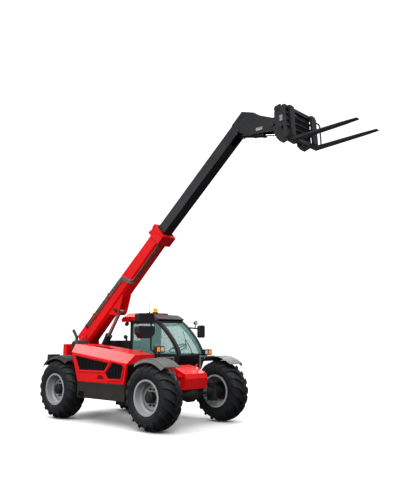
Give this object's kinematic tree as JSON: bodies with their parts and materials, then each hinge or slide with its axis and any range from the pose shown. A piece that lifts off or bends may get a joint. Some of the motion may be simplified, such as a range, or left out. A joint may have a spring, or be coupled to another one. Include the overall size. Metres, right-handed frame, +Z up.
{
  "type": "telescopic handler",
  "caption": "Telescopic handler with a two-section boom carrying pallet forks, an offset glazed cab, a side engine pod and steered wheels on both axles.",
  "frame": {"origin": "on the ground under the middle of the bounding box, the boom raised and extended as it stands", "axes": "+X forward along the machine, +Y to its left, towards the cab, +Z up"},
  "size_m": [7.5172, 2.3862, 6.0136],
  "materials": {
    "red_paint": "gloss",
    "black_paint": "satin",
    "chassis_paint": "satin",
    "rim_paint": "satin",
    "cast_axle": "matt",
    "tyre": "matt",
    "dark_plastic": "matt",
    "grey_plastic": "matt",
    "black_plastic": "matt",
    "amber_lens": "gloss",
    "tinted_glass": "clear",
    "rod_chrome": "polished",
    "pipe_steel": "satin",
    "seat_fabric": "woven"
  },
  "bodies": {
    "chassis": {"chassis_frame": "chassis_paint", "front_nose": "red_paint", "rear_tail": "red_paint", "front_axle": "cast_axle", "rear_axle": "cast_axle", "side_skirt": "dark_plastic", "engine_block": "cast_axle", "exhaust": "black_paint", "left_tank": "dark_plastic", "left_cover": "black_plastic", "fenders_front": "grey_plastic", "fenders_rear": "black_plastic", "cab_frame": "black_paint", "cab_floor": "dark_plastic", "cab_roof": "red_paint", "cab_glass": "tinted_glass", "seat": "seat_fabric", "steering_column": "black_plastic", "lamps": "black_plastic", "mirrors": "black_plastic", "beacon": "amber_lens"},
    "knuckle_fl": {"knuckle_fl": "cast_axle"},
    "wheel_fl": {"tyre_fl": "tyre", "rim_fl": "rim_paint", "hub_fl": "cast_axle"},
    "knuckle_fr": {"knuckle_fr": "cast_axle"},
    "wheel_fr": {"tyre_fr": "tyre", "rim_fr": "rim_paint", "hub_fr": "cast_axle"},
    "knuckle_rl": {"knuckle_rl": "cast_axle"},
    "wheel_rl": {"tyre_rl": "tyre", "rim_rl": "rim_paint", "hub_rl": "cast_axle"},
    "knuckle_rr": {"knuckle_rr": "cast_axle"},
    "wheel_rr": {"tyre_rr": "tyre", "rim_rr": "rim_paint", "hub_rr": "cast_axle"},
    "boom": {"boom_outer": "red_paint", "boom_pipes": "pipe_steel", "wear_pads": "black_plastic"},
    "inner_boom": {"boom_inner": "black_paint"},
    "fork_head": {"tool_carrier": "black_paint", "fork_carriage": "black_paint", "forks": "black_paint"},
    "lift_cylinder": {"lift_barrel": "black_paint"},
    "lift_piston": {"lift_rod": "rod_chrome"},
    "tilt_cylinder": {"tilt_barrel": "black_paint"},
    "tilt_piston": {"tilt_rod": "rod_chrome"},
    "cab_door": {"door": "black_paint", "door_glass": "tinted_glass"},
    "engine_lid": {"hood": "red_paint", "hood_grilles": "black_plastic"}
  },
  "joints": [
    {"name": "steer_front_left", "type": "hinge", "parent": "chassis", "child": "knuckle_fl", "pos_m": [-0.23859, 0.745, 0.62], "axis": [0, 0, 1], "range_deg": [-35, 35]},
    {"name": "steer_front_right", "type": "hinge", "parent": "chassis", "child": "knuckle_fr", "pos_m": [-0.23859, -0.745, 0.62], "axis": [0, 0, 1], "range_deg": [-35, 35]},
    {"name": "steer_rear_left", "type": "hinge", "parent": "chassis", "child": "knuckle_rl", "pos_m": [-3.09859, 0.745, 0.62], "axis": [0, 0, 1], "range_deg": [-35, 35]},
    {"name": "steer_rear_right", "type": "hinge", "parent": "chassis", "child": "knuckle_rr", "pos_m": [-3.09859, -0.745, 0.62], "axis": [0, 0, 1], "range_deg": [-35, 35]},
    {"name": "spin_front_left", "type": "hinge", "parent": "knuckle_fl", "child": "wheel_fl", "pos_m": [-0.23859, 0.965, 0.62], "axis": [0, 1, 0], "continuous": true},
    {"name": "spin_front_right", "type": "hinge", "parent": "knuckle_fr", "child": "wheel_fr", "pos_m": [-0.23859, -0.965, 0.62], "axis": [0, 1, 0], "continuous": true},
    {"name": "spin_rear_left", "type": "hinge", "parent": "knuckle_rl", "child": "wheel_rl", "pos_m": [-3.09859, 0.965, 0.62], "axis": [0, 1, 0], "continuous": true},
    {"name": "spin_rear_right", "type": "hinge", "parent": "knuckle_rr", "child": "wheel_rr", "pos_m": [-3.09859, -0.965, 0.62], "axis": [0, 1, 0], "continuous": true},
    {"name": "lift", "type": "hinge", "parent": "chassis", "child": "boom", "pos_m": [-3.48859, 0, 1.696], "axis": [0, -1, 0], "range_deg": [-47.7, 24]},
    {"name": "extend", "type": "slide", "parent": "boom", "child": "inner_boom", "axis": [0.7584, 0, 0.6518], "range_m": [-2.56, 0]},
    {"name": "fork_tilt", "type": "hinge", "parent": "inner_boom", "child": "fork_head", "pos_m": [1.98019, 0, 5.59221], "axis": [0, 1, 0], "range_deg": [-48.7, 85.3]},
    {"name": "lift_barrel_swing", "type": "hinge", "parent": "chassis", "child": "lift_cylinder", "pos_m": [-3.32859, 0, 0.947], "axis": [0, -1, 0], "range_deg": [-34.68, 17.7]},
    {"name": "lift_rod_slide", "type": "slide", "parent": "lift_cylinder", "child": "lift_piston", "axis": [0.5749, 0, 0.8182], "range_m": [-0.5251, 0.2667]},
    {"name": "tilt_barrel_swing", "type": "hinge", "parent": "inner_boom", "child": "tilt_cylinder", "pos_m": [1.08978, 0, 5.60487], "axis": [0, 1, 0], "range_deg": [-3.58, 6.05]},
    {"name": "tilt_rod_slide", "type": "slide", "parent": "tilt_cylinder", "child": "tilt_piston", "axis": [0.9774, 0, -0.2113], "range_m": [-0.268, 0.1551]},
    {"name": "cab_door", "type": "hinge", "parent": "chassis", "child": "cab_door", "pos_m": [-2.23859, 1.095, 1.35], "axis": [0, 0, 1], "range_deg": [0, 110]},
    {"name": "engine_lid", "type": "hinge", "parent": "chassis", "child": "engine_lid", "pos_m": [-1.66859, -0.308, 1.44], "axis": [-1, 0, 0], "range_deg": [0, 55]}
  ],
  "couplings": [
    {"joint": "steer_front_right", "follows": "steer_front_left", "ratio": 1},
    {"joint": "steer_rear_left", "follows": "steer_front_left", "ratio": -1},
    {"joint": "steer_rear_right", "follows": "steer_front_left", "ratio": -1},
    {"joint": "lift_barrel_swing", "follows": "lift", "ratio": 0.7166},
    {"joint": "lift_rod_slide", "follows": "lift", "m_per_rad": 0.6247},
    {"joint": "tilt_barrel_swing", "follows": "fork_tilt", "ratio": 0.0674},
    {"joint": "tilt_rod_slide", "follows": "fork_tilt", "m_per_rad": -0.17665}
  ]
}
